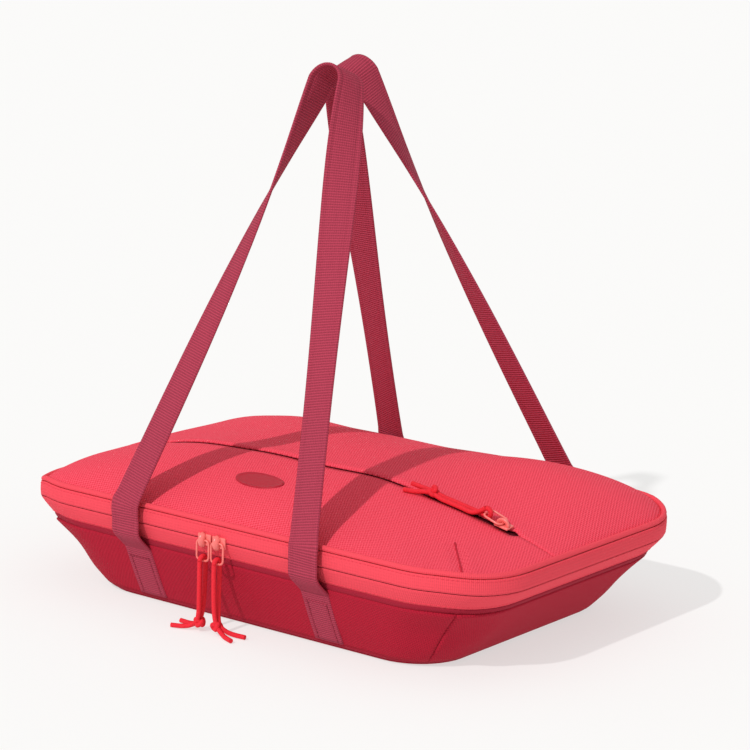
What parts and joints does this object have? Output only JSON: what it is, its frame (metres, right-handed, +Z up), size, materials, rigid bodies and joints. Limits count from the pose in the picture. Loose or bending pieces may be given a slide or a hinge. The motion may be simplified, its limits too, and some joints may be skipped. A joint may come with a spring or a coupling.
{
  "type": "casserole carrier",
  "caption": "Soft insulated fabric carrier with a tapered tub, a zipped domed lid with a pocket, cord zip pulls and tall webbing handles, for carrying a covered baking dish.",
  "frame": {"origin": "middle of the base's underside", "axes": "+X along the long side, -Y to the front where the zip sliders meet, +Z up"},
  "size_m": [0.43, 0.3053, 0.3988],
  "materials": {
    "shell_fabric": "fine plain weave, matte",
    "binding_fabric": "rolled binding tape, matte",
    "lid_fabric": "diagonal twill, slight sheen",
    "band_fabric": "smooth zip tape, matte",
    "zip_coil": "nylon coil",
    "webbing": "ribbed webbing, matte",
    "slider_paint": "glossy enamel",
    "cord": "braided cord",
    "badge": "plain moulded patch, satin",
    "lining": "coated silver-grey lining, satin",
    "foam": "closed-cell foam",
    "board": "stiffening board"
  },
  "bodies": {
    "tub": {"tub_front_panel": "shell_fabric", "tub_back_panel": "shell_fabric", "tub_left_panel": "shell_fabric", "tub_right_panel": "shell_fabric", "base_panel": "shell_fabric", "base_welt": "binding_fabric", "base_foam": "foam", "base_board": "board", "tub_foam": "foam", "tub_liner": "lining", "tub_rim_binding": "binding_fabric", "lower_zip_tape": "band_fabric", "lower_zip_coil": "zip_coil", "hinge_gusset": "band_fabric", "zip_end_stop_left": "slider_paint", "zip_end_stop_right": "slider_paint", "front_anchor_strap_left": "webbing", "front_anchor_strap_right": "webbing", "back_anchor_strap_left": "webbing", "back_anchor_strap_right": "webbing"},
    "lid": {"lid_front_panel": "lid_fabric", "lid_back_panel": "lid_fabric", "lid_piping": "lid_fabric", "upper_zip_tape": "band_fabric", "upper_zip_coil": "zip_coil", "lid_foam": "foam", "lid_liner": "lining", "badge_patch": "badge", "pocket_bag": "binding_fabric", "pocket_zip_tape_front": "lid_fabric", "pocket_zip_tape_back": "lid_fabric", "pocket_zip_coil": "zip_coil"},
    "front_handle": {"front_handle": "webbing"},
    "back_handle": {"back_handle": "webbing"},
    "left_slider": {"zip_slider_left": "slider_paint"},
    "left_puller": {"zip_puller_left": "slider_paint", "pull_cord_left": "cord", "pull_knot_left": "cord"},
    "right_slider": {"zip_slider_right": "slider_paint"},
    "right_puller": {"zip_puller_right": "slider_paint", "pull_cord_right": "cord", "pull_knot_right": "cord"},
    "pocket_slider": {"pocket_slider": "slider_paint"},
    "pocket_puller": {"pocket_puller": "slider_paint", "pocket_cord": "cord", "pocket_knot": "cord"}
  },
  "joints": [
    {"name": "lid_hinge", "type": "hinge", "parent": "tub", "child": "lid", "pos_m": [0, 0.1425, 0.0674], "axis": [-1, 0, 0], "range_deg": [0, 100]},
    {"name": "front_handle_swing", "type": "hinge", "parent": "tub", "child": "front_handle", "pos_m": [0, -0.13389, 0.04308], "axis": [1, 0, 0], "range_deg": [0, 113]},
    {"name": "back_handle_swing", "type": "hinge", "parent": "tub", "child": "back_handle", "pos_m": [0, 0.13389, 0.04308], "axis": [-1, 0, 0], "range_deg": [0, 113]},
    {"name": "left_slider_slide", "type": "slide", "parent": "tub", "child": "left_slider", "axis": [-1, 0, 0], "range_m": [0, 0.035]},
    {"name": "left_puller_flip", "type": "hinge", "parent": "left_slider", "child": "left_puller", "pos_m": [-0.0186, -0.1456, 0.0674], "axis": [-1, 0, 0], "range_deg": [0, 110]},
    {"name": "right_slider_slide", "type": "slide", "parent": "tub", "child": "right_slider", "axis": [1, 0, 0], "range_m": [0, 0.05]},
    {"name": "right_puller_flip", "type": "hinge", "parent": "right_slider", "child": "right_puller", "pos_m": [-0.0054, -0.1456, 0.0674], "axis": [-1, 0, 0], "range_deg": [0, 110]},
    {"name": "pocket_slider_slide", "type": "slide", "parent": "lid", "child": "pocket_slider", "axis": [-0.9831, 0, 0.183], "range_m": [0, 0.03]},
    {"name": "pocket_puller_flip", "type": "hinge", "parent": "pocket_slider", "child": "pocket_puller", "pos_m": [0.16671, -0.04052, 0.09414], "axis": [0.0243, 0.9912, 0.1303], "range_deg": [0, 150]}
  ],
  "couplings": [
    {"joint": "front_handle_swing", "follows": "lid_hinge", "ratio": 1.12},
    {"joint": "back_handle_swing", "follows": "lid_hinge", "ratio": 1.12}
  ]
}
